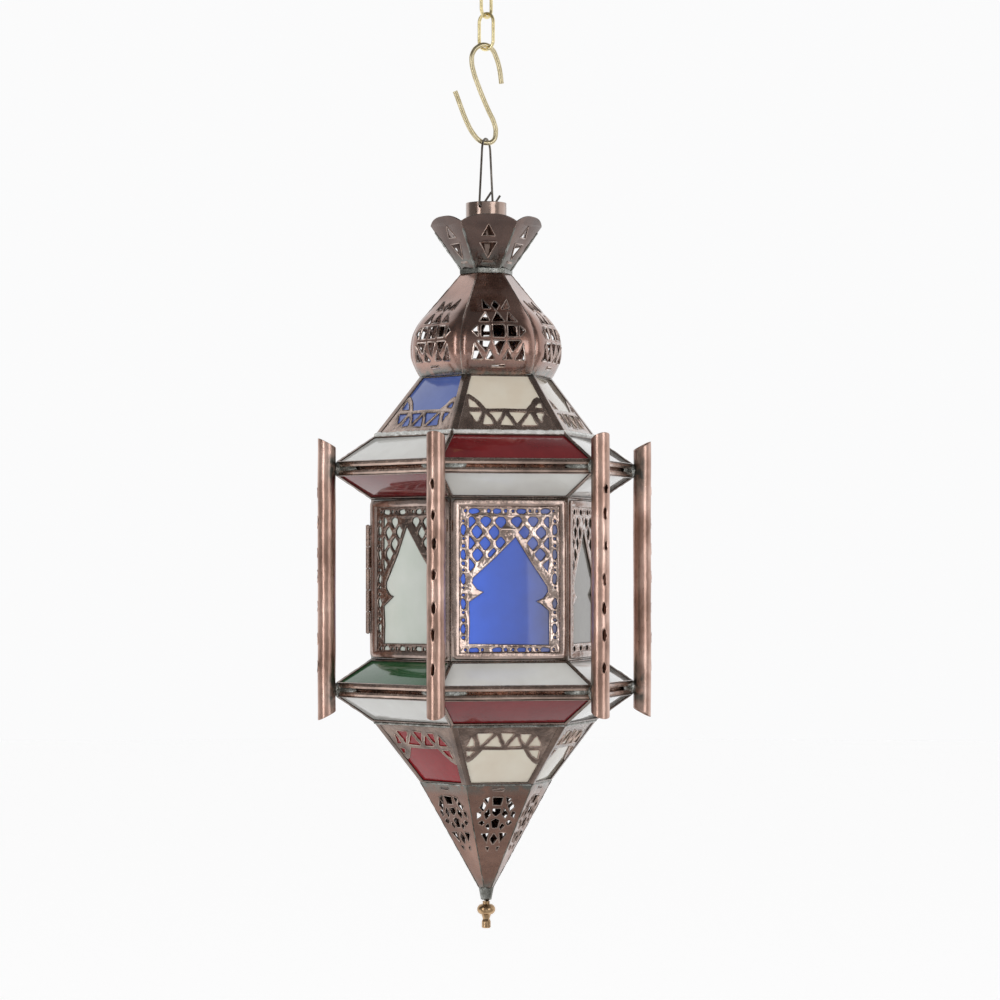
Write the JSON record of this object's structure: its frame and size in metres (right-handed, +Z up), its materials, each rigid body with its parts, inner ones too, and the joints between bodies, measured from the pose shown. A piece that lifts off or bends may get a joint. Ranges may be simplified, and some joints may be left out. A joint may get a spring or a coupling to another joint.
{
  "type": "hexagonal hanging lantern",
  "caption": "Hexagonal hanging lantern of copper came, pierced screens and coloured glass, with a hinged door, a candle cup, slotted columns, a hook and a chain.",
  "frame": {"origin": "inside top of the upper chain link, where the lantern hangs, on the lantern's axis", "axes": "+Z up along the lantern's axis, -Y out of the front window, the left corner of the box on -X"},
  "size_m": [0.2356, 0.2056, 0.6541],
  "materials": {
    "chain_brass": "polished, a little aged",
    "hook_brass": "polished, a little aged",
    "finial_brass": "aged",
    "tie_wire": "dark annealed wire",
    "solder": "lumpy soft solder",
    "hinge_brass": "aged",
    "copper_came": "antique copper, rubbed edges",
    "copper_screen": "antique copper, rubbed edges",
    "copper_sheet": "antique copper, rubbed edges",
    "glass_clear": "lightly textured",
    "glass_blue": "lightly textured",
    "glass_red": "lightly textured",
    "glass_green": "lightly textured"
  },
  "bodies": {
    "top_link": {"chain_link_top": "chain_brass"},
    "lower_link": {"chain_link_lower": "chain_brass"},
    "s_hook": {"s_hook": "hook_brass"},
    "bail": {"bail_wire": "tie_wire"},
    "lantern": {"candle_cup": "copper_sheet", "candle_plate": "copper_sheet", "column_1": "copper_sheet", "column_2": "copper_sheet", "column_3": "copper_sheet", "column_4": "copper_sheet", "column_5": "copper_sheet", "column_6": "copper_sheet", "crown_petals": "copper_sheet", "dome_petal_1": "copper_sheet", "dome_petal_2": "copper_sheet", "dome_petal_3": "copper_sheet", "dome_petal_4": "copper_sheet", "dome_petal_5": "copper_sheet", "dome_petal_6": "copper_sheet", "finial": "finial_brass", "hinge_pin": "hinge_brass", "lower_band_rails": "copper_came", "lower_canopy_came": "copper_came", "lower_canopy_glass_blue": "glass_blue", "lower_canopy_glass_clear": "glass_clear", "lower_canopy_glass_red": "glass_red", "lower_canopy_lattice": "copper_screen", "lower_eave_came": "copper_came", "lower_eave_glass_clear": "glass_clear", "lower_eave_glass_red": "glass_red", "lower_soffit_came": "copper_came", "lower_soffit_glass_clear": "glass_clear", "lower_soffit_glass_green": "glass_green", "neck_tube": "copper_sheet", "post_knuckles": "hinge_brass", "spike_facets": "copper_sheet", "spike_ferrule": "solder", "upper_band_rails": "copper_came", "upper_canopy_came": "copper_came", "upper_canopy_glass_blue": "glass_blue", "upper_canopy_glass_clear": "glass_clear", "upper_canopy_glass_red": "glass_red", "upper_canopy_lattice": "copper_screen", "upper_eave_came": "copper_came", "upper_eave_glass_clear": "glass_clear", "upper_eave_glass_red": "glass_red", "upper_soffit_came": "copper_came", "upper_soffit_glass_clear": "glass_clear", "upper_soffit_glass_red": "glass_red", "waist_collar": "solder", "window_frames": "copper_came", "window_glass_blue": "glass_blue", "window_glass_clear": "glass_clear", "window_glass_red": "glass_red", "window_screens": "copper_screen"},
    "door": {"door_frame": "copper_came", "door_screen": "copper_screen", "door_glass": "glass_clear", "door_knuckles": "hinge_brass", "door_tab": "copper_came"}
  },
  "joints": [
    {"name": "lower_link_swing", "type": "hinge", "parent": "top_link", "child": "lower_link", "pos_m": [0, 0, -0.02365], "axis": [0.7431, 0.6691, 0], "range_deg": [-35, 35]},
    {"name": "s_hook_swing", "type": "hinge", "parent": "lower_link", "child": "s_hook", "pos_m": [0, 0, -0.04585], "axis": [0.6691, -0.7431, 0], "range_deg": [-30, 30]},
    {"name": "bail_swing", "type": "hinge", "parent": "s_hook", "child": "bail", "pos_m": [0, 0, -0.1102], "axis": [0.9925, 0.1219, 0], "range_deg": [-35, 35]},
    {"name": "lantern_swing", "type": "hinge", "parent": "bail", "child": "lantern", "pos_m": [0, 0, -0.15545], "axis": [0.5, 0.866, 0], "range_deg": [-20, 20]},
    {"name": "door_swing", "type": "hinge", "parent": "lantern", "child": "door", "pos_m": [-0.083, 0, -0.41125], "axis": [0, 0, -1], "range_deg": [0, 95]}
  ]
}
